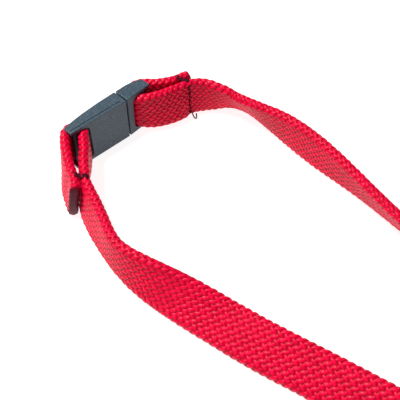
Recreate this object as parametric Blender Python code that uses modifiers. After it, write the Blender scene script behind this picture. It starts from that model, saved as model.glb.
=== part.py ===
"""Neck lanyard: flat tubular braid strap, breakaway buckle, crimp and swivel snap hook.

Metres, +Z up. The lanyard lies on the plane z = 0. X runs along the buckle, the loop
extends towards -Y and the snap hook is at its -Y end.
"""
import math

import bmesh
import bpy
import numpy as np
from mathutils import Vector

MM = 0.001

# strap
STRAP_W = 12.0
STRAP_T = 2.8
LOOP_T = 2.6

# buckle
BUCKLE_H = 14.3
SEAM_X = 6.0
SEAM_GAP = 0.45
SOCKET_X0 = -13.2
PLUG_X1 = 15.4
SEAM_FRONT = -2.4
SEAM_BACK = 2.8
RAIL = 0.95
BAR_R = 1.0
EDGE = 0.2
SOCKET_BAR = (-11.2, -0.2)
PLUG_BAR = (13.6, 0.1)
SOCKET_WINDOW_X = -7.0
PLUG_WINDOW_X = 8.45
CAVITY_X0 = -3.0

# crimp and hook
AXIS_X = 11.0
CRIMP_Y = (-384.0, -372.0)
CRIMP_W = 13.6
CRIMP_H = 7.1
CRIMP_WALL = 0.5
EYE_Y = -392.0
EYE_Z = 3.8
WIRE_R = 1.1
BOSS_Y = (-405.0, -400.8)
BOSS_R = 3.0
STEM_R = 1.3
HOOK_Y = -405.3
HOOK_T = 3.6
GATE_PIVOT = (6.2, 9.5)
PIN_R = 0.7
SLOT_T = 1.9
GATE_T = 1.3
FOLD_T = 2.5

# x, y, lean in degrees (positive tips the top edge to the left of travel), lift
NEAR_ROUTE = [
    (-21.7, -17.5, 10, 0.5),
    (-22.5, -19.9, 15, 0.4),
    (-25.0, -27.3, 12, 0.2),
    (-27.1, -35.6, 7, 0.0),
    (-26.5, -44.3, 22, 0.0),
    (-24.0, -54.6, 44, 0.0),
    (-21.1, -66.1, 62, 0.0),
    (-18.6, -77.9, 62, 0.0),
    (-15.4, -90.1, 63, 0.0),
    (-12.3, -103.7, 58, 0.0),
    (-9.2, -117.7, 48, 0.0),
    (-4.9, -140.0, 48, 0.0),
    (-1.3, -165.0, 54, 0.0),
    (1.4, -195.0, 62, 0.0),
    (3.1, -230.0, 71, 0.0),
    (4.4, -268.0, 81, 0.1),
    (5.8, -296.0, 89, 2.3),
    (6.9, -311.0, 90, 3.1),
    (9.1, -342.0, 90, 3.15),
    (10.6, -361.0, 90, 3.5),
    (11.0, -376.5, 90, 3.65),
]
FAR_ROUTE = [
    (26.75, -8.5, 0, 0.65),
    (29.0, -9.85, 2, 0.4),
    (31.9, -13.0, -12, 0.1),
    (34.9, -16.8, -29, 0.0),
    (36.3, -25.7, -27, 0.0),
    (36.5, -36.3, -8, 0.0),
    (35.8, -49.5, -3, 0.0),
    (34.5, -63.9, -17, 0.0),
    (32.6, -78.5, -28, 0.0),
    (31.2, -93.2, -33, 0.0),
    (30.3, -112.0, -36, 0.0),
    (29.5, -135.0, -43, 0.0),
    (28.3, -165.0, -53, 0.0),
    (26.4, -200.0, -64, 0.0),
    (24.1, -240.0, -76, 0.0),
    (21.4, -280.0, -86, 0.0),
    (18.8, -310.0, -90, 0.0),
    (15.2, -338.0, -90, 0.1),
    (12.1, -360.0, -90, 0.55),
    (11.0, -376.5, -90, 0.65),
]
LEFT_LOOP = [
    (-21.6, -17.2, -9, 0.6),
    (-19.7, -13.9, -10, 0.8),
    (-17.7, -11.2, -9, 1.0),
    (-15.5, -8.7, -6, 1.15),
    (-12.9, -6.0, -3, 1.15),
    (-9.95, -2.4, 0, 1.15),
    (-8.75, -0.2, 0, 1.15),
    (-9.95, 2.0, 0, 1.15),
    (-11.6, 2.35, 0, 1.15),
    (-12.9, 1.8, 0, 1.15),
    (-14.3, 0.4, 1, 1.15),
    (-16.3, -1.9, 5, 1.15),
    (-18.5, -4.9, 9, 1.1),
    (-20.6, -8.2, 13, 1.05),
    (-22.15, -11.35, 15, 1.0),
    (-23.3, -13.7, 13, 0.9),
    (-24.5, -15.55, 9, 0.8),
]
RIGHT_LOOP = [
    (25.95, -8.1, -3, 0.75),
    (24.8, -7.95, -8, 0.85),
    (22.9, -7.75, -12, 1.0),
    (18.6, -6.7, -13, 1.0),
    (14.5, -5.2, -8, 1.1),
    (11.9, -3.5, -3, 1.15),
    (10.5, -1.7, 0, 1.15),
    (10.35, 0.1, 0, 1.15),
    (11.0, 1.7, 0, 1.15),
    (12.3, 2.6, 0, 1.15),
    (13.9, 2.85, 0, 1.15),
    (15.5, 2.2, 0, 1.15),
    (17.2, 0.5, 1, 1.15),
    (19.0, -1.4, 3, 1.15),
    (21.3, -3.1, 6, 1.15),
    (24.0, -4.35, 8, 1.1),
    (25.9, -4.75, 7, 1.05),
    (28.4, -5.1, 5, 1.0),
]

for old in list(bpy.data.objects):
    bpy.data.objects.remove(old, do_unlink=True)

PARTS = bpy.data.collections.new("neck_lanyard")
CUTTERS = bpy.data.collections.new("cutters")
bpy.context.scene.collection.children.link(PARTS)
bpy.context.scene.collection.children.link(CUTTERS)


def material(name, color, rough, metal=0.0):
    mat = bpy.data.materials.new(name)
    mat.use_nodes = True
    shader = mat.node_tree.nodes["Principled BSDF"]
    shader.inputs["Base Color"].default_value = (*color, 1.0)
    shader.inputs["Roughness"].default_value = rough
    shader.inputs["Metallic"].default_value = metal
    return mat


def put(obj, mat, coll=PARTS):
    for old in list(obj.users_collection):
        old.objects.unlink(obj)
    coll.objects.link(obj)
    if mat is not None:
        obj.data.materials.clear()
        obj.data.materials.append(mat)
    return obj


def cutter(obj):
    put(obj, None, CUTTERS)
    obj.hide_render = True
    obj.display_type = "WIRE"
    return obj


def smooth(ctrl, step):
    """Natural cubic spline through the control points, resampled at an even step."""
    pts = np.array(ctrl, float)
    seg = np.linalg.norm(np.diff(pts[:, :2], axis=0), axis=1)
    s = np.concatenate([[0.0], np.cumsum(seg)])
    n = len(s)
    mat = np.zeros((n, n))
    rhs = np.zeros((n, pts.shape[1]))
    mat[0, 0] = 1.0
    mat[-1, -1] = 1.0
    for i in range(1, n - 1):
        mat[i, i - 1] = seg[i - 1]
        mat[i, i] = 2.0 * (seg[i - 1] + seg[i])
        mat[i, i + 1] = seg[i]
        rhs[i] = 6.0 * ((pts[i + 1] - pts[i]) / seg[i] - (pts[i] - pts[i - 1]) / seg[i - 1])
    curv = np.linalg.solve(mat, rhs)
    count = max(2, int(round(s[-1] / step))) + 1
    out = []
    for q in np.linspace(0.0, s[-1], count):
        i = min(n - 2, int(np.searchsorted(s, q, side="right")) - 1)
        h = seg[i]
        a = (s[i + 1] - q) / h
        b = (q - s[i]) / h
        bend = ((a ** 3 - a) * curv[i] + (b ** 3 - b) * curv[i + 1]) * h * h / 6.0
        out.append(a * pts[i] + b * pts[i + 1] + bend)
    return np.array(out)


def stadium(width, thick, steps=5):
    """Closed outline of the flattened tube: width along y, thickness along x."""
    pts = []
    r = thick / 2.0
    for k in range(steps + 1):
        a = math.pi * k / steps
        pts.append((-r * math.cos(a), width / 2.0 - r + r * math.sin(a)))
    for k in range(steps + 1):
        a = math.pi * k / steps
        pts.append((r * math.cos(a), -width / 2.0 + r - r * math.sin(a)))
    return pts


def spline_of(data, pts, cyclic):
    spl = data.splines.new("POLY")
    spl.points.add(len(pts) - 1)
    for point, co in zip(spl.points, pts):
        co = tuple(co) + (0.0,) * (3 - len(co))
        point.co = (co[0] * MM, co[1] * MM, co[2] * MM, 1.0)
    spl.use_cyclic_u = cyclic
    return spl


def profile(name, width, thick):
    data = bpy.data.curves.new(name, "CURVE")
    data.dimensions = "2D"
    data.fill_mode = "NONE"
    spline_of(data, stadium(width, thick), True)
    obj = bpy.data.objects.new(name, data)
    CUTTERS.objects.link(obj)
    obj.hide_render = True
    return obj


def strap(name, centre, leans, prof, mat):
    """Flat braid swept along its centreline, standing on edge and tipped by lean."""
    data = bpy.data.curves.new(name, "CURVE")
    data.dimensions = "3D"
    data.twist_mode = "Z_UP"
    data.bevel_mode = "OBJECT"
    data.bevel_object = prof
    data.use_fill_caps = True
    spl = spline_of(data, centre, False)
    for point, lean in zip(spl.points, leans):
        point.tilt = -math.radians(lean)
    return put(bpy.data.objects.new(name, data), mat)


def laid(name, route, step, thick, prof, mat):
    """Strap along a route of x, y, lean and lift; its lower edge rides lift above z = 0."""
    path = smooth(route, step)
    lean = np.radians(path[:, 2])
    lift = np.maximum(path[:, 3], 0.0)
    height = (STRAP_W - thick) / 2.0 * np.cos(lean) + thick / 2.0 + lift
    centre = np.stack([path[:, 0], path[:, 1], height], axis=1)
    return strap(name, centre, path[:, 2], prof, mat)


def cord(name, path, radius, mat, step=0.5, cyclic=False, coll=PARTS):
    data = bpy.data.curves.new(name, "CURVE")
    data.dimensions = "3D"
    data.bevel_depth = radius * MM
    data.bevel_resolution = 2
    data.use_fill_caps = not cyclic
    spline_of(data, path if cyclic else smooth(path, step), cyclic)
    return put(bpy.data.objects.new(name, data), mat, coll)


def prism(name, outlines, depth, mat, coll=PARTS):
    """Filled outlines (first outer, rest holes) extruded depth/2 each way along local Z."""
    data = bpy.data.curves.new(name, "CURVE")
    data.dimensions = "2D"
    data.fill_mode = "BOTH"
    data.extrude = depth / 2.0 * MM
    for pts in outlines:
        spline_of(data, pts, True)
    obj = put(bpy.data.objects.new(name, data), mat, coll)
    return to_mesh(obj)


def to_mesh(obj):
    bpy.context.view_layer.update()
    graph = bpy.context.evaluated_depsgraph_get()
    mesh = bpy.data.meshes.new_from_object(obj.evaluated_get(graph))
    name = obj.name
    coll = obj.users_collection[0]
    mats = list(obj.data.materials)
    world = obj.matrix_world.copy()
    bpy.data.objects.remove(obj, do_unlink=True)
    work = bmesh.new()
    work.from_mesh(mesh)
    bmesh.ops.remove_doubles(work, verts=work.verts, dist=1e-7)
    bmesh.ops.recalc_face_normals(work, faces=work.faces)
    work.to_mesh(mesh)
    work.free()
    new = bpy.data.objects.new(name, mesh)
    new.matrix_world = world
    coll.objects.link(new)
    if mats:
        mesh.materials.clear()
        mesh.materials.append(mats[0])
    return new


def box(name, lo, hi):
    bpy.ops.mesh.primitive_cube_add(size=1.0)
    obj = bpy.context.object
    obj.name = name
    lo = Vector(lo)
    hi = Vector(hi)
    obj.scale = (hi - lo) * MM
    obj.location = (hi + lo) / 2.0 * MM
    bpy.ops.object.transform_apply(location=False, rotation=False, scale=True)
    return cutter(obj)


def rod(name, radius, centre, length, axis, mat=None, coll=None, verts=32):
    bpy.ops.mesh.primitive_cylinder_add(vertices=verts, radius=radius * MM, depth=length * MM)
    obj = bpy.context.object
    obj.name = name
    obj.location = Vector(centre) * MM
    if axis == "Y":
        obj.rotation_euler = (math.pi / 2.0, 0.0, 0.0)
    if coll is None:
        return cutter(obj)
    return put(obj, mat, coll)


def combine(obj, tool, operation, solver="EXACT"):
    mod = obj.modifiers.new(operation.lower() + "_" + tool.name, "BOOLEAN")
    mod.operation = operation
    mod.object = tool
    mod.solver = solver
    return mod


def soften(obj, width, segments=2, angle=40.0):
    mod = obj.modifiers.new("soften", "BEVEL")
    mod.width = width * MM
    mod.segments = segments
    mod.limit_method = "ANGLE"
    mod.angle_limit = math.radians(angle)
    mod.use_clamp_overlap = True
    return mod


def rounded(x0, x1, y0, y1, r, steps=6):
    """Rounded rectangle as a closed list of points; r is one radius or one per corner."""
    rad = (r,) * 4 if not isinstance(r, tuple) else r
    corners = [(x1, y1, 0), (x0, y1, 90), (x0, y0, 180), (x1, y0, 270)]
    pts = []
    for (cx, cy, start), q in zip(corners, rad):
        if q <= 0.0:
            pts.append((cx, cy))
            continue
        ox = cx - q if cx == x1 else cx + q
        oy = cy - q if cy == y1 else cy + q
        for k in range(steps + 1):
            a = math.radians(start + 90.0 * k / steps)
            pts.append((ox + q * math.cos(a), oy + q * math.sin(a)))
    return pts


STRAP_RED = material("strap_red", (0.76, 0.01, 0.05), 0.75)
THREAD_RED = material("thread_maroon", (0.12, 0.006, 0.02), 0.7)
PLASTIC = material("buckle_plastic", (0.05, 0.066, 0.085), 0.5)
METAL = material("hook_metal", (0.62, 0.63, 0.65), 0.28, 1.0)
STEEL = material("spring_steel", (0.45, 0.46, 0.48), 0.35, 1.0)

# ---- buckle socket half -------------------------------------------------------------
socket_outline = [
    (SOCKET_X0, -1.6), (SEAM_X, SEAM_FRONT), (SEAM_X, SEAM_BACK), (0.0, SEAM_BACK),
    (-5.0, 2.55), (-9.5, 2.1), (SOCKET_X0, 1.5),
]
socket = prism("buckle_socket_half", [socket_outline], BUCKLE_H, PLASTIC)
socket.location.z = BUCKLE_H / 2.0 * MM
soften(socket, EDGE, 2, 50.0)
window = prism("socket_window", [rounded(SOCKET_X0 - 6.0, SOCKET_WINDOW_X, RAIL, BUCKLE_H - RAIL,
                                         (1.8, 0.0, 0.0, 1.8))], 12.0, None, CUTTERS)
window.rotation_euler = (math.pi / 2.0, 0.0, 0.0)
cutter(window)
combine(socket, window, "DIFFERENCE")
cavity = box("socket_cavity", (CAVITY_X0, -1.3, 2.2), (SEAM_X + 2.0, 1.3, 12.1))
combine(socket, cavity, "DIFFERENCE")
socket_bar = rod("socket_bar", BAR_R, (*SOCKET_BAR, BUCKLE_H / 2.0), BUCKLE_H - 0.9, "Z")
combine(socket, socket_bar, "UNION", "MANIFOLD")
ridge = prism("socket_ridge", [[(-12.6, -0.62), (-12.6, -0.38), (4.9, -0.98), (4.9, -1.22)]],
              0.5, None, CUTTERS)
ridge.location.z = (BUCKLE_H - 0.07) * MM
cutter(ridge)
combine(socket, ridge, "UNION", "MANIFOLD")

# ---- buckle plug half ---------------------------------------------------------------
PLUG_X0 = SEAM_X + SEAM_GAP
plug_outline = [
    (PLUG_X0, SEAM_FRONT), (PLUG_X1, -1.8), (PLUG_X1, 0.8), (14.8, 1.75),
    (12.6, 2.45), (10.2, SEAM_BACK), (PLUG_X0, SEAM_BACK),
]
plug = prism("buckle_plug_half", [plug_outline], BUCKLE_H, PLASTIC)
plug.location.z = BUCKLE_H / 2.0 * MM
soften(plug, EDGE, 2, 50.0)
plug_window = prism("plug_window", [rounded(PLUG_WINDOW_X, PLUG_X1 + 6.0, RAIL, BUCKLE_H - RAIL,
                                            (0.0, 2.2, 2.2, 0.0))], 12.0, None, CUTTERS)
plug_window.rotation_euler = (math.pi / 2.0, 0.0, 0.0)
cutter(plug_window)
combine(plug, plug_window, "DIFFERENCE")
plug_bar = rod("plug_bar", BAR_R, (*PLUG_BAR, BUCKLE_H / 2.0), BUCKLE_H - 0.9, "Z")
combine(plug, plug_bar, "UNION", "MANIFOLD")
for side, base in (("low", 2.6), ("high", 11.7)):
    sign = 1.0 if side == "low" else -1.0
    prong_outline = [
        (PLUG_X0 + 1.0, base + sign * 2.6), (-1.0, base + sign * 1.7), (-2.2, base + sign * 1.1),
        (-2.2, base + sign * 0.4), (-1.0, base - sign * 0.22), (-0.2, base - sign * 0.22),
        (0.3, base + sign * 0.1), (PLUG_X0 + 1.0, base + sign * 0.1),
    ]
    prong = prism("prong_" + side, [prong_outline], 2.2, None, CUTTERS)
    prong.rotation_euler = (math.pi / 2.0, 0.0, 0.0)
    cutter(prong)
    combine(plug, prong, "UNION", "MANIFOLD")

# ---- strap: buckle loops, two arms, fold at the hook --------------------------------
arm_profile = profile("arm_profile", STRAP_W, STRAP_T)
loop_profile = profile("loop_profile", STRAP_W, LOOP_T)
laid("strap_end_left", LEFT_LOOP, 1.3, LOOP_T, loop_profile, STRAP_RED)
laid("strap_near_arm", NEAR_ROUTE, 5.0, STRAP_T, arm_profile, STRAP_RED)
laid("strap_end_right", RIGHT_LOOP, 1.3, LOOP_T, loop_profile, STRAP_RED)
laid("strap_far_arm", FAR_ROUTE, 5.0, STRAP_T, arm_profile, STRAP_RED)

fold_r = WIRE_R + 0.1 + FOLD_T / 2.0
fold_profile = profile("fold_profile", STRAP_W, FOLD_T)
fold = [(-378.5, 5.05), (-383.0, 5.1), (-387.0, 5.6)]
for k in range(13):
    turn = math.radians(70.0 - 140.0 * k / 12.0)
    fold.append((EYE_Y - fold_r * math.cos(turn), EYE_Z + fold_r * math.sin(turn)))
fold += [(-387.0, 1.95), (-383.0, 2.0), (-378.5, 2.05)]
fold_path = smooth([(-z, y) for y, z in fold], 0.9)
fold_centre = [(q[0], q[1], 0.0) for q in fold_path]
fold_obj = strap("strap_fold", fold_centre, [0.0] * len(fold_centre), fold_profile, STRAP_RED)
fold_obj.rotation_euler = (0.0, math.pi / 2.0, 0.0)
fold_obj.location.x = AXIS_X * MM


# ---- thread -------------------------------------------------------------------------
def staple(name, middle, across, sides, foot):
    """Thread over the top edges of two layers; each side has its offset from the middle
    and the slope of the layer it follows."""
    climb = [(foot, 1.0), ((foot + 11.4) / 2.0, 1.0), (11.4, 1.0), (13.0, 0.9), (13.75, 0.5)]
    rows = [(side, z, part) for side in sides[:1] for z, part in climb]
    rows += [(side, z, part) for side in sides[1:] for z, part in reversed(climb)]
    path = []
    for (offset, slope), z, part in rows:
        s = part * (offset + slope * (z - 7.0))
        path.append((middle[0] + across[0] * s, middle[1] + across[1] * s, z))
    data = bpy.data.curves.new(name, "CURVE")
    data.dimensions = "3D"
    data.bevel_depth = 0.25 * MM
    data.bevel_resolution = 2
    data.use_fill_caps = True
    spline_of(data, path, False)
    return put(bpy.data.objects.new(name, data), THREAD_RED)


staple("stitch_left", (-20.9, -12.6), (-0.87, 0.49), ((-3.9, -0.18), (3.9, -0.27)), 9.0)
staple("stitch_right", (24.6, -6.15), (0.2, 0.98), ((-3.75, 0.15), (3.75, 0.15)), 1.6)
cord("thread_tail", [(24.3, -10.1, 3.4), (24.2, -10.8, 1.9), (24.5, -11.3, 0.8),
                     (25.2, -11.3, 0.6), (25.6, -10.7, 1.7)], 0.2, THREAD_RED, 0.35)

# ---- crimp --------------------------------------------------------------------------
crimp = prism("crimp", [
    rounded(-CRIMP_W / 2.0, CRIMP_W / 2.0, 0.0, CRIMP_H, 2.0),
    rounded(-CRIMP_W / 2.0 + CRIMP_WALL, CRIMP_W / 2.0 - CRIMP_WALL, CRIMP_WALL,
            CRIMP_H - CRIMP_WALL, 1.5),
], CRIMP_Y[1] - CRIMP_Y[0], METAL)
crimp.rotation_euler = (math.pi / 2.0, 0.0, 0.0)
crimp.location = (AXIS_X * MM, (CRIMP_Y[0] + CRIMP_Y[1]) / 2.0 * MM, 0.0)

# ---- hook eye -----------------------------------------------------------------------
eye_path = [(x, y, 0.0) for x, y in rounded(-7.6, 7.6, -403.0, EYE_Y, (1.5, 1.5, 3.0, 3.0))]
eye = cord("hook_eye", eye_path, WIRE_R, METAL, cyclic=True)
eye.location = (AXIS_X * MM, 0.0, EYE_Z * MM)
eye = to_mesh(eye)
boss_mid = (AXIS_X, (BOSS_Y[0] + BOSS_Y[1]) / 2.0, EYE_Z)
boss = rod("eye_boss", BOSS_R, boss_mid, BOSS_Y[1] - BOSS_Y[0], "Y")
soften(boss, 0.4)
combine(eye, boss, "UNION")
eye_bore = rod("eye_bore", STEM_R + 0.08, boss_mid, 12.0, "Y")
combine(eye, eye_bore, "DIFFERENCE")

# ---- hook body, open towards +X and closed by the gate ------------------------------
ring_outer = rounded(-8.0, 8.0, -36.0, -1.0, (4.5, 4.5, 8.0, 8.0), 8)
ring_inner = rounded(-4.6, 4.6, -32.6, -7.0, (2.0, 2.0, 4.6, 4.6), 8)
hook = prism("hook_body", [ring_outer, ring_inner], HOOK_T, METAL)
hook.location = (AXIS_X * MM, HOOK_Y * MM, EYE_Z * MM)
soften(hook, 0.7, 2, 30.0)
mouth = box("hook_mouth", (AXIS_X + 2.0, HOOK_Y - 23.0, 0.0), (AXIS_X + 10.0, HOOK_Y - 12.6, 9.0))
combine(hook, mouth, "DIFFERENCE")
slot = box("hook_slot", (AXIS_X + 3.0, HOOK_Y - 13.5, EYE_Z - SLOT_T / 2.0),
           (AXIS_X + 10.0, HOOK_Y - 6.6, EYE_Z + SLOT_T / 2.0))
combine(hook, slot, "DIFFERENCE")
stem = rod("hook_stem", STEM_R, (AXIS_X, HOOK_Y + 2.6, EYE_Z), 8.4, "Y")
combine(hook, stem, "UNION")
head = rod("hook_stem_head", 2.2, (AXIS_X, -399.8, EYE_Z), 1.4, "Y")
soften(head, 0.3)
combine(hook, head, "UNION")
collar = rod("hook_collar", 2.7, (AXIS_X, HOOK_Y - 1.5, EYE_Z), 3.0, "Y")
soften(collar, 0.3)
combine(hook, collar, "UNION")
pivot_world = (AXIS_X + GATE_PIVOT[0], HOOK_Y - GATE_PIVOT[1], EYE_Z)
pin_bore = rod("pin_bore", PIN_R + 0.03, pivot_world, 8.0, "Z")
combine(hook, pin_bore, "DIFFERENCE")

# ---- gate, pin and return spring ----------------------------------------------------
gate_outline = [
    (1.25, 0.0), (1.1, -3.0), (1.9, -4.6), (2.6, -6.4), (2.3, -8.4), (0.0, -9.6),
    (-1.7, -13.0), (-2.35, -15.6), (-3.1, -16.3), (-4.2, -16.1), (-4.7, -15.2),
    (-3.4, -10.6), (-1.6, -4.2), (-1.3, 0.0), (-0.95, 0.9), (0.0, 1.3), (0.9, 0.9),
]
gate = prism("gate", [gate_outline], GATE_T, METAL)
gate.location = Vector(pivot_world) * MM
soften(gate, 0.2, 2, 30.0)
gate_bore = rod("gate_bore", PIN_R + 0.06, pivot_world, 8.0, "Z")
combine(gate, gate_bore, "DIFFERENCE")
rod("gate_pin", PIN_R, pivot_world, HOOK_T - 0.2, "Z", STEEL, PARTS)
coil = []
for k in range(37):
    a = math.radians(30.0 * k)
    radius = 1.0 + 0.35 * k / 36.0
    coil.append((pivot_world[0] + radius * math.cos(a), pivot_world[1] + radius * math.sin(a),
                 EYE_Z + GATE_T / 2.0 + 0.15))
cord("gate_spring", coil, 0.05, STEEL, 0.3)
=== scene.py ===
import math

import bpy
import numpy as np
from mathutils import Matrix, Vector


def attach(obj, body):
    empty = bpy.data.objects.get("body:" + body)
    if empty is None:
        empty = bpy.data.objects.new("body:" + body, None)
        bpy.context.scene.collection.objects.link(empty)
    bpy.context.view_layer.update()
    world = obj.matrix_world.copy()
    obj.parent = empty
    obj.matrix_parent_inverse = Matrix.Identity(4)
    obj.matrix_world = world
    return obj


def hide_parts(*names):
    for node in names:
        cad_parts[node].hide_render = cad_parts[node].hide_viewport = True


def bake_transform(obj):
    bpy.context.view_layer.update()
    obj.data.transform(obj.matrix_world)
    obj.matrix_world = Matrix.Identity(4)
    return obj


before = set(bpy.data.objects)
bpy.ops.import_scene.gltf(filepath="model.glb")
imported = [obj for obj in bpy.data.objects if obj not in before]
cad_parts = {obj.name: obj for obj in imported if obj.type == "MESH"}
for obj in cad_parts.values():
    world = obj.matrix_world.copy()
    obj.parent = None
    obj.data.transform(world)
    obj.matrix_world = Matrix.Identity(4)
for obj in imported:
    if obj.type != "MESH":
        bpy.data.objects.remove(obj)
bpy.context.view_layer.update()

MM = 0.001

# ---- camera -------------------------------------------------------------------------
CAMERA_AT = (-0.08188, -0.12019, 0.15157)
CAMERA_BACK = (-0.4404, -0.4419, 0.7815)
LENS = 63.0

camera = bpy.data.objects.new("camera", bpy.data.cameras.new("camera"))
bpy.context.scene.collection.objects.link(camera)
camera.data.lens = LENS
camera.data.sensor_width = 36.0
camera.data.clip_start = 0.01
camera.location = CAMERA_AT
camera.rotation_euler = (-Vector(CAMERA_BACK)).to_track_quat("-Z", "Y").to_euler()
bpy.context.scene.camera = camera

# ---- strap dimensions and routes, in millimetres, as in the CAD model ---------------
STRAP_W = 12.0
STRAP_T = 2.8
LOOP_T = 2.6
FOLD_T = 2.5
AXIS_X = 11.0
EYE_Y = -392.0
EYE_Z = 3.8
FOLD_R = 2.45

# where each end is sewn: the middle of the tail's layer, then of the main layer
LEFT_SEWN = ((-22.15, -11.35), (-19.7, -13.9))
RIGHT_SEWN = ((24.0, -4.35), (24.8, -7.95))

# x, y, lean in degrees (positive tips the top edge to the left of travel), lift. The arms
# run from the buckle to the crimp, and the loops from their arm round the bar to the tail.
NEAR_ROUTE = [
    (-21.7, -17.5, 10, 0.5),
    (-22.5, -19.9, 15, 0.4),
    (-25.0, -27.3, 12, 0.2),
    (-27.1, -35.6, 7, 0.0),
    (-26.5, -44.3, 22, 0.0),
    (-24.0, -54.6, 44, 0.0),
    (-21.1, -66.1, 62, 0.0),
    (-18.6, -77.9, 62, 0.0),
    (-15.4, -90.1, 63, 0.0),
    (-12.3, -103.7, 58, 0.0),
    (-9.2, -117.7, 48, 0.0),
    (-4.9, -140.0, 48, 0.0),
    (-1.3, -165.0, 54, 0.0),
    (1.4, -195.0, 62, 0.0),
    (3.1, -230.0, 71, 0.0),
    (4.4, -268.0, 81, 0.1),
    (5.8, -296.0, 89, 2.3),
    (6.9, -311.0, 90, 3.1),
    (9.1, -342.0, 90, 3.15),
    (10.6, -361.0, 90, 3.5),
    (11.0, -376.5, 90, 3.65),
]
FAR_ROUTE = [
    (26.75, -8.5, 0, 0.65),
    (29.0, -9.85, 2, 0.4),
    (31.9, -13.0, -12, 0.1),
    (34.9, -16.8, -29, 0.0),
    (36.3, -25.7, -27, 0.0),
    (36.5, -36.3, -8, 0.0),
    (35.8, -49.5, -3, 0.0),
    (34.5, -63.9, -17, 0.0),
    (32.6, -78.5, -28, 0.0),
    (31.2, -93.2, -33, 0.0),
    (30.3, -112.0, -36, 0.0),
    (29.5, -135.0, -43, 0.0),
    (28.3, -165.0, -53, 0.0),
    (26.4, -200.0, -64, 0.0),
    (24.1, -240.0, -76, 0.0),
    (21.4, -280.0, -86, 0.0),
    (18.8, -310.0, -90, 0.0),
    (15.2, -338.0, -90, 0.1),
    (12.1, -360.0, -90, 0.55),
    (11.0, -376.5, -90, 0.65),
]
LEFT_LOOP = [
    (-21.6, -17.2, -9, 0.6),
    (-19.7, -13.9, -10, 0.8),
    (-17.7, -11.2, -9, 1.0),
    (-15.5, -8.7, -6, 1.15),
    (-12.9, -6.0, -3, 1.15),
    (-9.95, -2.4, 0, 1.15),
    (-8.75, -0.2, 0, 1.15),
    (-9.95, 2.0, 0, 1.15),
    (-11.6, 2.35, 0, 1.15),
    (-12.9, 1.8, 0, 1.15),
    (-14.3, 0.4, 1, 1.15),
    (-16.3, -1.9, 5, 1.15),
    (-18.5, -4.9, 9, 1.1),
    (-20.6, -8.2, 13, 1.05),
    (-22.15, -11.35, 15, 1.0),
    (-23.3, -13.7, 13, 0.9),
    (-24.5, -15.55, 9, 0.8),
]
RIGHT_LOOP = [
    (25.95, -8.1, -3, 0.75),
    (24.8, -7.95, -8, 0.85),
    (22.9, -7.75, -12, 1.0),
    (18.6, -6.7, -13, 1.0),
    (14.5, -5.2, -8, 1.1),
    (11.9, -3.5, -3, 1.15),
    (10.5, -1.7, 0, 1.15),
    (10.35, 0.1, 0, 1.15),
    (11.0, 1.7, 0, 1.15),
    (12.3, 2.6, 0, 1.15),
    (13.9, 2.85, 0, 1.15),
    (15.5, 2.2, 0, 1.15),
    (17.2, 0.5, 1, 1.15),
    (19.0, -1.4, 3, 1.15),
    (21.3, -3.1, 6, 1.15),
    (24.0, -4.35, 8, 1.1),
    (25.9, -4.75, 7, 1.05),
    (28.4, -5.1, 5, 1.0),
]


# ---- braid, in millimetres ----------------------------------------------------------
STRANDS = 12  # pairs of rows round the tube
STITCH = 1.9  # spacing of the floats along a row
PITCH = 2.25  # spacing of the rows that slant the same way
RELIEF = 0.5  # height of a float
SEAT = 0.55  # share of the relief that the CAD surface's offset allows for
FLOAT_LONG = 1.2  # half length of a float
FLOAT_WIDE = 0.62  # half width of a float
SLANT = math.radians(27.0)
EDGE_SLACK = 0.12
WAVES = ((0.006, 9.7, 0.0), (0.005, 4.3, 1.0))  # share of the width, wavelength / 2 pi, phase
ACROSS = 10  # samples for each pair of rows
ALONG = 9  # samples for each float along a row

PINCH_REACH = 1.3
LEFT_PINCH = (0.15, 0.15)
RIGHT_PINCH = (0.2, 0.35)

CUT_RINGS = 5
CUT_TAPER = 0.30

THREAD_R = 0.24
EDGE_THREADS = 3
FACE_STITCHES = 8
FACE_SPAN = 5.2
FACE_SWAY = 0.28
FACE_PRESS = 0.72


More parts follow.
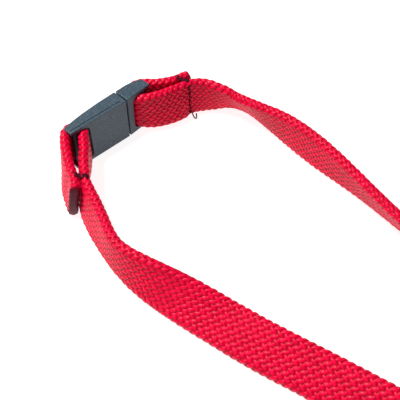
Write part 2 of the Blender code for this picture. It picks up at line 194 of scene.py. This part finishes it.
# ---- materials ----------------------------------------------------------------------
class Nodes:
    """A material's node tree, with short calls for the nodes used here."""

    def __init__(self, name):
        self.mat = bpy.data.materials.new(name)
        self.mat.use_nodes = True
        self.tree = self.mat.node_tree
        self.shader = self.tree.nodes["Principled BSDF"]

    def add(self, kind, **settings):
        node = self.tree.nodes.new(kind)
        for key, value in settings.items():
            setattr(node, key, value)
        return node

    def link(self, a, b):
        self.tree.links.new(a, b)

    def feed(self, socket, value):
        """Gives a socket a number, a colour or another node's output."""
        if isinstance(value, (int, float)):
            socket.default_value = value
        elif isinstance(value, tuple):
            socket.default_value = (*value, 1.0)
        else:
            self.link(value, socket)

    def noise(self, scale, detail, roughness):
        node = self.add("ShaderNodeTexNoise")
        node.inputs["Scale"].default_value = scale
        node.inputs["Detail"].default_value = detail
        node.inputs["Roughness"].default_value = roughness
        self.link(self.add("ShaderNodeTexCoord").outputs["Object"], node.inputs["Vector"])
        return node.outputs["Fac"]

    def ramp(self, fac, *stops):
        node = self.add("ShaderNodeValToRGB")
        while len(node.color_ramp.elements) < len(stops):
            node.color_ramp.elements.new(0.5)
        for element, (at, color) in zip(node.color_ramp.elements, stops):
            element.position = at
            element.color = (*color, 1.0)
        self.link(fac, node.inputs["Fac"])
        return node.outputs["Color"]

    def span(self, fac, low, high):
        node = self.add("ShaderNodeMapRange")
        node.inputs["To Min"].default_value = low
        node.inputs["To Max"].default_value = high
        self.link(fac, node.inputs["Value"])
        return node.outputs["Result"]

    def mix(self, fac, a, b, blend="MIX"):
        node = self.add("ShaderNodeMix", data_type="RGBA", blend_type=blend)
        for value, socket in ((fac, node.inputs[0]), (a, node.inputs[6]), (b, node.inputs[7])):
            self.feed(socket, value)
        return node.outputs[2]

    def attribute(self, name):
        return self.add("ShaderNodeAttribute", attribute_name=name).outputs["Fac"]

    def bump(self, height, strength, distance):
        node = self.add("ShaderNodeBump")
        node.inputs["Strength"].default_value = strength
        node.inputs["Distance"].default_value = distance
        self.link(height, node.inputs["Height"])
        return node.outputs["Normal"]

    def wear(self, **sockets):
        """Sets the shader's own sockets by name."""
        for name, value in sockets.items():
            self.feed(self.shader.inputs[name.replace("_", " ")], value)
        return self.mat


def braid_material():
    """Polyester braid with painted shade: the base colour is dark between the floats and brighter on
    their crowns, set by the float height, and burnt at the cut.
    """
    n = Nodes("braid_red")
    rib = n.attribute("rib")
    tone = n.attribute("tone")
    burn = n.attribute("burn")
    # painted shade: the base colour darkens where the float height (rib) is low, in the grooves
    # between the floats, and stays bright on their crowns
    color = n.ramp(rib, (0.0, (0.10, 0.0, 0.004)), (0.4, (0.42, 0.0, 0.016)),
                   (0.7, (0.74, 0.0, 0.034)), (1.0, (0.92, 0.003, 0.055)))
    tint = n.ramp(tone, (0.0, (0.80, 0.80, 0.80)), (1.0, (1.0, 1.0, 1.0)))
    color = n.mix(1.0, color, tint, "MULTIPLY")
    fibre = n.noise(5200.0, 3.0, 0.6)
    color = n.mix(n.span(fibre, 0.0, 0.18), color, (0.95, 0.004, 0.06))
    color = n.mix(burn, color, (0.085, 0.004, 0.016))
    return n.wear(
        Base_Color=color,
        Roughness=n.span(fibre, 0.26, 0.42),
        Specular_IOR_Level=0.2,
        Specular_Tint=(1.0, 0.55, 0.6),
        Normal=n.bump(fibre, 0.25, 0.00008),
    )


def plastic_material():
    """Moulded dark grey plastic with a fine spark-eroded grain."""
    n = Nodes("buckle_grain")
    grain = n.noise(2600.0, 2.0, 0.5)
    cloud = n.noise(160.0, 3.0, 0.5)
    color = n.ramp(cloud, (0.3, (0.018, 0.042, 0.062)), (0.7, (0.026, 0.052, 0.074)))
    speck = n.ramp(grain, (0.50, (0.0, 0.0, 0.0)), (0.72, (1.0, 1.0, 1.0)))
    color = n.mix(speck, color, (0.085, 0.125, 0.155))
    return n.wear(
        Base_Color=color,
        Roughness=n.span(grain, 0.42, 0.6),
        Specular_IOR_Level=0.5,
        Normal=n.bump(grain, 0.35, 0.00006),
    )


def thread_material():
    n = Nodes("thread_maroon")
    fibre = n.noise(6000.0, 3.0, 0.6)
    color = n.ramp(fibre, (0.3, (0.018, 0.001, 0.004)), (0.75, (0.08, 0.004, 0.016)))
    return n.wear(Base_Color=color, Roughness=0.7, Specular_IOR_Level=0.12,
                  Normal=n.bump(fibre, 0.4, 0.00006))


def metal_material(name, bright, dark, rough):
    n = Nodes(name)
    fine = n.noise(1800.0, 4.0, 0.6)
    patch = n.noise(220.0, 3.0, 0.5)
    color = n.ramp(patch, (0.3, dark), (0.7, bright))
    return n.wear(
        Base_Color=color,
        Metallic=1.0,
        Roughness=n.span(fine, rough - 0.06, rough + 0.1),
        Normal=n.bump(fine, 0.12, 0.00004),
    )


BRAID = braid_material()
PLASTIC = plastic_material()
THREAD = thread_material()
NICKEL = metal_material("nickel_plate", (0.72, 0.72, 0.71), (0.60, 0.60, 0.60), 0.22)
STEEL = metal_material("spring_steel", (0.50, 0.51, 0.53), (0.36, 0.37, 0.39), 0.32)


# ---- paths --------------------------------------------------------------------------
def smooth(ctrl, step):
    """Natural cubic spline through the control points, resampled at an even step."""
    pts = np.array(ctrl, float)
    seg = np.linalg.norm(np.diff(pts[:, :2], axis=0), axis=1)
    s = np.concatenate([[0.0], np.cumsum(seg)])
    n = len(s)
    mat = np.zeros((n, n))
    rhs = np.zeros((n, pts.shape[1]))
    mat[0, 0] = 1.0
    mat[-1, -1] = 1.0
    for i in range(1, n - 1):
        mat[i, i - 1:i + 2] = seg[i - 1], 2.0 * (seg[i - 1] + seg[i]), seg[i]
        rhs[i] = 6.0 * ((pts[i + 1] - pts[i]) / seg[i] - (pts[i] - pts[i - 1]) / seg[i - 1])
    curv = np.linalg.solve(mat, rhs)
    count = max(2, int(round(s[-1] / step))) + 1
    q = np.linspace(0.0, s[-1], count)
    i = np.clip(np.searchsorted(s, q, side="right") - 1, 0, n - 2)
    h = seg[i][:, None]
    a = (s[i + 1] - q)[:, None] / h
    b = (q - s[i])[:, None] / h
    bend = ((a ** 3 - a) * curv[i] + (b ** 3 - b) * curv[i + 1]) * h * h / 6.0
    return a * pts[i] + b * pts[i + 1] + bend


def backwards(route):
    """The same strap travelled the other way, so its lean changes sign."""
    return [(x, y, -lean, lift) for x, y, lean, lift in reversed(route)]


def laid(ctrl, step):
    """Centreline, lean and thickness from x, y, lean, lift and thickness; the strap's
    lower edge rides lift above the floor."""
    path = smooth(ctrl, step)
    lean = path[:, 2]
    lift = np.maximum(path[:, 3], 0.0)
    thick = path[:, 4]
    z = (STRAP_W - thick) / 2.0 * np.cos(np.radians(lean)) + thick / 2.0 + lift
    return np.stack([path[:, 0], path[:, 1], z], axis=1), lean, thick


def arc_length(centre):
    """Distance along the path at each of its points."""
    return np.concatenate([[0.0], np.cumsum(np.linalg.norm(np.diff(centre, axis=0), axis=1))])


# ---- braid --------------------------------------------------------------------------
def stadium(p, width, thick):
    """Point and outward normal (across the width, through the thickness) at distance p
    round the flattened tube, from the middle of its top edge."""
    r = thick / 2.0
    flat = width - thick
    quarter = math.pi * r / 2.0
    ends = np.cumsum([quarter, flat, 2.0 * quarter, flat])
    angle = np.select(
        [p < ends[0], p < ends[1], p < ends[2], p < ends[3]],
        [p / r, math.pi / 2.0, math.pi / 2.0 + (p - ends[1]) / r, 1.5 * math.pi],
        1.5 * math.pi + (p - ends[3]) / r,
    )
    shift = np.select(
        [p < ends[0], p < ends[1], p < ends[2], p < ends[3]],
        [flat / 2.0, flat / 2.0 - (p - ends[0]), -flat / 2.0, -flat / 2.0 + (p - ends[2])],
        flat / 2.0,
    )
    normal = np.stack([np.cos(angle), np.sin(angle)], axis=-1)
    point = normal * r
    point[..., 0] += shift
    return point, normal


def hash01(a, b):
    """Scattered but repeatable values from 0 to 1."""
    value = np.sin(a * 12.9898 + b * 78.233) * 43758.5453
    return value - np.floor(value)


def braid_pattern(turn, s):
    """Height and tone, both 0 to 1, of the braid's floats. turn counts strands round the
    tube and s is the distance along it. The floats are ovals on a lattice of diamonds,
    and rows of them slant one way and the other by turns, which makes V shapes."""
    i = np.floor(turn + s / STITCH)
    j = np.floor(turn - s / STITCH)
    height = np.zeros_like(turn)
    tone = np.zeros_like(turn)
    for di, dj in ((0, 0), (1, 0), (-1, 0), (0, 1), (0, -1), (1, -1), (-1, 1)):
        a = i + di
        b = j + dj
        du = s - (a - b) / 2.0 * STITCH
        dv = (turn - (a + b + 1.0) / 2.0) * PITCH
        slant = np.where(np.mod(a + b, 2.0) < 0.5, SLANT, -SLANT)
        long = (du * np.cos(slant) + dv * np.sin(slant)) / FLOAT_LONG
        short = (dv * np.cos(slant) - du * np.sin(slant)) / FLOAT_WIDE
        shade = hash01(np.mod(a, 91.0) + 1.0, np.mod(b, 83.0))
        bulge = np.sqrt(np.clip(1.0 - long ** 2 - short ** 2, 0.0, 1.0)) * (0.86 + 0.14 * shade)
        tone = np.where(bulge > height, shade, tone)
        height = np.maximum(height, bulge)
    return height, tone


def frames(centre, lean, fixed=None):
    """Tangent, width and thickness directions along the path."""
    tan = np.gradient(centre, axis=0)
    tan /= np.linalg.norm(tan, axis=1)[:, None]
    if fixed is not None:
        wide = np.tile(np.array(fixed, float), (len(centre), 1))
    else:
        left = np.stack([-tan[:, 1], tan[:, 0], 0.0 * tan[:, 0]], axis=1)
        left /= np.linalg.norm(left, axis=1)[:, None]
        a = np.radians(lean)[:, None]
        wide = left * np.sin(a) + np.array([0.0, 0.0, 1.0]) * np.cos(a)
    wide -= tan * np.sum(wide * tan, axis=1)[:, None]
    wide /= np.linalg.norm(wide, axis=1)[:, None]
    return tan, wide, np.cross(wide, tan)


def braid_rings(centre, lean, thick, fixed=None, pinches=()):
    """Rings of points on the braid's surface, with their height and tone."""
    tan, wide, deep = frames(centre, lean, fixed)
    s = arc_length(centre)
    count = STRANDS * ACROSS
    k = np.arange(count)
    squeeze = np.ones(len(s))
    for at, amount in pinches:
        squeeze -= amount * np.exp(-((s - at) / PINCH_REACH) ** 2)
    width = (STRAP_W - EDGE_SLACK) * (1.0 + sum(a * np.sin(s / r + c) for a, r, c in WAVES))
    sunk = 2.0 * RELIEF * SEAT
    base = (thick - sunk) * squeeze
    rings = np.zeros((len(s), count, 3))
    rib = np.zeros((len(s), count))
    tone = np.zeros((len(s), count))
    for i in range(len(s)):
        flat = width[i] - sunk - base[i]
        around = 2.0 * flat + math.pi * base[i]
        point, normal = stadium(k / count * around, flat + base[i], base[i])
        rib[i], tone[i] = braid_pattern(k / ACROSS, s[i])
        point += normal * (rib[i] * RELIEF * (0.6 + 0.4 * squeeze[i]))[:, None]
        rings[i] = centre[i] + point[:, :1] * wide[i] + point[:, 1:] * deep[i]
    return rings, rib, tone


def closed_tube(name, rings, values):
    """Braid from rings of points, closed round each ring and capped at both ends."""
    n, m, _ = rings.shape
    i = np.arange(n - 1)[:, None] * m
    j = np.arange(m)[None, :]
    nxt = (j + 1) % m
    quads = np.stack([i + j, i + m + j, i + m + nxt, i + nxt], axis=-1).reshape(-1, 4)
    verts = np.concatenate([rings.reshape(-1, 3), [rings[0].mean(axis=0), rings[-1].mean(axis=0)]])
    first_cap = n * m
    last_cap = n * m + 1
    last_ring = (n - 1) * m
    faces = quads.tolist()
    faces += [(first_cap, q, (q + 1) % m) for q in range(m)]
    faces += [(last_cap, last_ring + (q + 1) % m, last_ring + q) for q in range(m)]
    mesh = bpy.data.meshes.new(name)
    mesh.from_pydata((verts * MM).tolist(), [], faces)
    mesh.polygons.foreach_set("use_smooth", np.ones(len(mesh.polygons), bool))
    for key, field in values.items():
        flat = np.concatenate([field.reshape(-1), [field[0].mean(), field[-1].mean()]])
        layer = mesh.attributes.new(key, "FLOAT", "POINT")
        layer.data.foreach_set("value", flat.astype(np.float32))
    mesh.materials.append(BRAID)
    obj = bpy.data.objects.new(name, mesh)
    bpy.context.scene.collection.objects.link(obj)
    return obj


def melt_end(rings, burn):
    """Draws the first rings together into the rounded, fused end of a cut strap."""
    mid = rings[:CUT_RINGS].mean(axis=1, keepdims=True)
    for i in range(CUT_RINGS):
        d = i / CUT_RINGS
        lip = 1.0 - CUT_TAPER * (1.0 - d) ** 4
        rings[i] = mid[i] + (rings[i] - mid[i]) * lip
        burn[i] = np.clip(1.35 - 1.5 * d, 0.0, 1.0)


def nearest(centre, at):
    return int(np.argmin(np.linalg.norm(centre[:, :2] - np.array(at), axis=1)))


def strap_pair(loop, route, names, sewn, pinch):
    """The loop round a buckle bar and the arm that leaves it, cut from one path so that
    the braid runs on from one to the other. Returns each piece with its centreline, and
    the strap's frame at each sewn place."""
    ctrl = [(*point, LOOP_T) for point in backwards(loop)[:-1]]
    ctrl += [(*point, STRAP_T) for point in route[1:]]
    centre, lean, thick = laid(ctrl, STITCH / ALONG)
    s = arc_length(centre)
    split = nearest(centre, (np.array(loop[0][:2]) + np.array(route[0][:2])) / 2.0)
    spots = [nearest(centre[:split], at) for at in sewn]
    pinches = [(s[spot], depth) for spot, depth in zip(spots, pinch)]
    rings, rib, tone = braid_rings(centre, lean, thick, pinches=pinches)
    burn = np.zeros_like(rib)
    melt_end(rings, burn)
    made = []
    for name, lo, hi in ((names[0], 0, split + 1), (names[1], split, len(centre))):
        values = {"rib": rib[lo:hi], "tone": tone[lo:hi], "burn": burn[lo:hi]}
        made.append((closed_tube(name, rings[lo:hi], values), centre[lo:hi]))
    tan, wide, deep = frames(centre, lean)
    return made, [(centre[i], tan[i], wide[i], deep[i], thick[i] / 2.0) for i in spots]


(left_loop, near_arm), left_spots = strap_pair(
    LEFT_LOOP, NEAR_ROUTE, ("left_end_braid", "near_arm_braid"), LEFT_SEWN, LEFT_PINCH)
(right_loop, far_arm), right_spots = strap_pair(
    RIGHT_LOOP, FAR_ROUTE, ("right_end_braid", "far_arm_braid"), RIGHT_SEWN, RIGHT_PINCH)
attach(left_loop[0], "strap")
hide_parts("strap_end_left")
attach(near_arm[0], "strap")
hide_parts("strap_near_arm")
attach(right_loop[0], "plug_half")
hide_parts("strap_end_right")
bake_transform(far_arm[0])
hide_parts("strap_far_arm")


# ---- stitching ----------------------------------------------------------------------
def thread(name, runs):
    """Fine sewing thread along each run of points, as one mesh."""
    data = bpy.data.curves.new(name, "CURVE")
    data.dimensions = "3D"
    data.bevel_depth = THREAD_R * MM
    data.bevel_resolution = 3
    data.use_fill_caps = True
    for run in runs:
        spline = data.splines.new("NURBS")
        spline.points.add(len(run) - 1)
        for point, co in zip(spline.points, run):
            point.co = (co[0] * MM, co[1] * MM, co[2] * MM, 1.0)
        spline.order_u = 3
        spline.use_endpoint_u = True
        spline.resolution_u = 4
    curve = bpy.data.objects.new(name + "_line", data)
    bpy.context.scene.collection.objects.link(curve)
    bpy.context.view_layer.update()
    mesh = bpy.data.meshes.new_from_object(curve.evaluated_get(bpy.context.evaluated_depsgraph_get()))
    bpy.data.objects.remove(curve, do_unlink=True)
    mesh.materials.clear()
    mesh.materials.append(THREAD)
    mesh.polygons.foreach_set("use_smooth", np.ones(len(mesh.polygons), bool))
    obj = bpy.data.objects.new(name, mesh)
    bpy.context.scene.collection.objects.link(obj)
    return obj


def face_stitches(spot):
    """A row of short stitches down the outer face of the strap, zigzagging a little."""
    at, tan, wide, deep, half = spot
    runs = []
    for k in range(FACE_STITCHES):
        low = -FACE_SPAN + 2.0 * FACE_SPAN * k / FACE_STITCHES
        high = low + 2.0 * FACE_SPAN / FACE_STITCHES * 0.9
        sway = FACE_SWAY if k % 2 else -FACE_SWAY
        run = []
        for q, out in ((low, -0.5), (low + 0.15, 0.1), ((low + high) / 2.0, 0.2),
                       (high - 0.15, 0.1), (high, -0.5)):
            slant = sway * (2.0 * (q - low) / (high - low) - 1.0)
            run.append(at + wide * q - deep * (half * FACE_PRESS + out) + tan * slant)
        runs.append(run)
    return runs


def edge_stitches(tail_spot, main_spot):
    """Short threads drawn over the two layers' top edges and down into the valley."""
    tail, main = (at + wide * (STRAP_W / 2.0 - 0.15) for at, tan, wide, deep, half in
                  (tail_spot, main_spot))
    up = np.array([0.0, 0.0, 1.0])
    runs = []
    for k in range(EDGE_THREADS):
        slip = (k - (EDGE_THREADS - 1) / 2.0) * 0.5
        a = tail + tail_spot[1] * slip
        b = main - main_spot[1] * slip
        away = (a - b) / np.linalg.norm(a - b)
        over_tail = [a + away * 0.9 - up * 1.3, a + away * 0.5 + up * 0.05, a - away * 0.3 + up * 0.1]
        valley = [(a + b) / 2.0 - up * 0.55]
        over_main = [b + away * 0.3 + up * 0.1, b - away * 0.5 + up * 0.05, b - away * 0.9 - up * 1.3]
        runs.append(over_tail + valley + over_main)
    return runs


left_sewing = thread("left_sewing", edge_stitches(*left_spots))
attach(left_sewing, "strap")
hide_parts("stitch_left")
right_sewing = thread("right_sewing", face_stitches(right_spots[1]) + edge_stitches(*right_spots))
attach(right_sewing, "plug_half")
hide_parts("stitch_right")

# ---- fold round the hook's eye, in the plane across X -------------------------------
FOLD_TURN = math.radians(70.0)
FOLD_POINTS = 13

fold = [(-378.5, 5.05), (-383.0, 5.1), (-387.0, 5.6)]
for turn in np.linspace(FOLD_TURN, -FOLD_TURN, FOLD_POINTS):
    fold.append((EYE_Y - FOLD_R * math.cos(turn), EYE_Z + FOLD_R * math.sin(turn)))
fold += [(-387.0, 1.95), (-383.0, 2.0), (-378.5, 2.05)]
fold_path = smooth(fold, STITCH / ALONG)
fold_centre = np.insert(fold_path, 0, AXIS_X, axis=1)
rings, rib, tone = braid_rings(fold_centre, np.zeros(len(fold_centre)),
                               np.full(len(fold_centre), FOLD_T), fixed=(1.0, 0.0, 0.0))
fold_obj = closed_tube("fold_braid", rings, {"rib": rib, "tone": tone, "burn": np.zeros_like(rib)})
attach(fold_obj, "strap")
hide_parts("strap_fold")

# ---- finishes on the CAD pieces -----------------------------------------------------
FINISH = {
    "buckle_socket_half": PLASTIC,
    "buckle_plug_half": PLASTIC,
    "stitch_left": THREAD,
    "stitch_right": THREAD,
    "thread_tail": THREAD,
    "crimp": NICKEL,
    "hook_eye": NICKEL,
    "hook_body": NICKEL,
    "gate": NICKEL,
    "gate_pin": STEEL,
    "gate_spring": STEEL,
}
for node, finish in FINISH.items():
    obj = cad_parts[node]
    if not obj.material_slots:
        obj.data.materials.append(finish)
    for slot in obj.material_slots:
        slot.material = finish

# ---- floor and light ----------------------------------------------------------------
FLOOR_HALF = 3.0
FLOOR_GLOW = 0.88
WORLD_STRENGTH = 0.16
LIGHT_AIM = (0.0, -0.05, 0.0)

floor_mesh = bpy.data.meshes.new("floor")
corners = [(x * FLOOR_HALF, y * FLOOR_HALF, 0.0) for x, y in ((-1, -1), (1, -1), (1, 1), (-1, 1))]
floor_mesh.from_pydata(corners, [], [(0, 1, 2, 3)])
floor = bpy.data.objects.new("floor", floor_mesh)
bpy.context.scene.collection.objects.link(floor)
floor_mesh.materials.append(Nodes("floor").wear(
    Base_Color=(0.4, 0.4, 0.4), Roughness=0.8, Emission_Color=(1.0, 1.0, 1.0),
    Emission_Strength=FLOOR_GLOW))

bpy.context.scene.view_settings.view_transform = "Standard"
world = bpy.data.worlds.new("studio")
bpy.context.scene.world = world
world.use_nodes = True
background = world.node_tree.nodes["Background"]
background.inputs["Color"].default_value = (1.0, 1.0, 1.0, 1.0)
background.inputs["Strength"].default_value = WORLD_STRENGTH


def softbox(name, at, size, power):
    data = bpy.data.lights.new(name, "AREA")
    data.shape = "SQUARE"
    data.size = size
    data.energy = power
    lamp = bpy.data.objects.new(name, data)
    lamp.location = at
    lamp.rotation_euler = (Vector(LIGHT_AIM) - Vector(at)).to_track_quat("-Z", "Y").to_euler()
    bpy.context.scene.collection.objects.link(lamp)


softbox("key", (-0.14, 0.20, 0.66), 0.16, 6.9)
softbox("fill", (-0.5, -0.6, 0.45), 0.6, 0.25)
